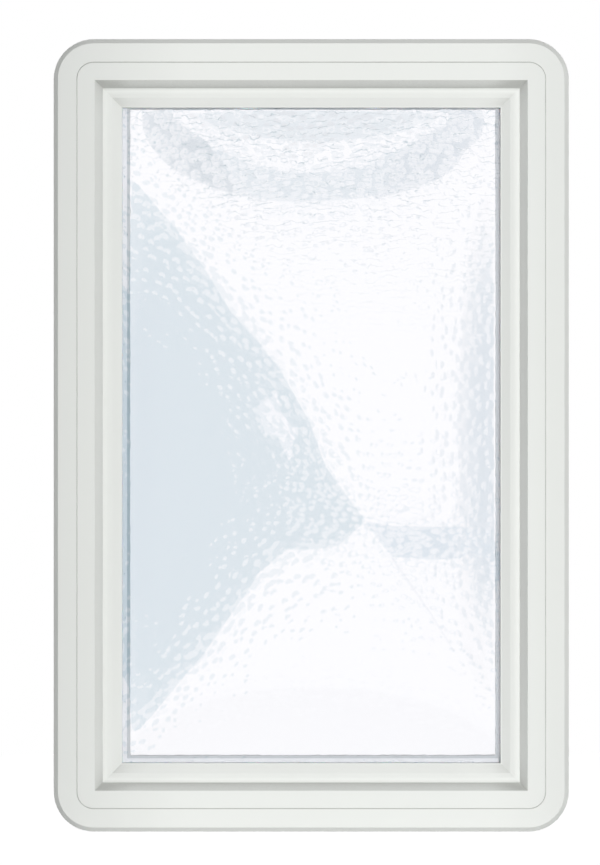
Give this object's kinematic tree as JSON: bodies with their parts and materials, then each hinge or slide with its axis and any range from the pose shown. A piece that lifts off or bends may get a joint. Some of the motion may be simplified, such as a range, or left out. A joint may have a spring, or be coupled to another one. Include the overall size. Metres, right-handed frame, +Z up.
{
  "type": "framed garage door window",
  "caption": "Portrait garage door window: stepped white moulded frame with rounded corners, hammered obscure pane, sealed double glazing and a screwed inner clamping frame.",
  "frame": {"origin": "on the bearing rib at the back of the outer flange, where it lies on the door's outer skin, at the middle of the bottom rail", "axes": "+X to the right seen from outside, +Y inwards through the door, +Z up"},
  "size_m": [0.3302, 0.0589, 0.508],
  "materials": {
    "frame_plastic": "satin white moulded plastic with a fine grain",
    "obscure_pane": "clear acrylic with a hammered outer face",
    "clear_pane": "clear polished acrylic",
    "spacer": "satin grey",
    "edge_sealant": "pale cured sealant",
    "clear_sealant": "clear cured sealant",
    "gasket_rubber": "black extruded rubber",
    "foam": "closed cell foam"
  },
  "bodies": {
    "root": {"outer_frame": "frame_plastic", "inner_frame": "frame_plastic", "foam_seal": "foam", "front_bead": "clear_sealant", "front_pane": "obscure_pane", "rear_pane": "clear_pane", "edge_seal": "edge_sealant", "spacer_top": "spacer", "spacer_bottom": "spacer", "spacer_left": "spacer", "spacer_right": "spacer", "rear_gasket_top": "gasket_rubber", "rear_gasket_bottom": "gasket_rubber", "rear_gasket_left": "gasket_rubber", "rear_gasket_right": "gasket_rubber"}
  },
  "joints": []
}
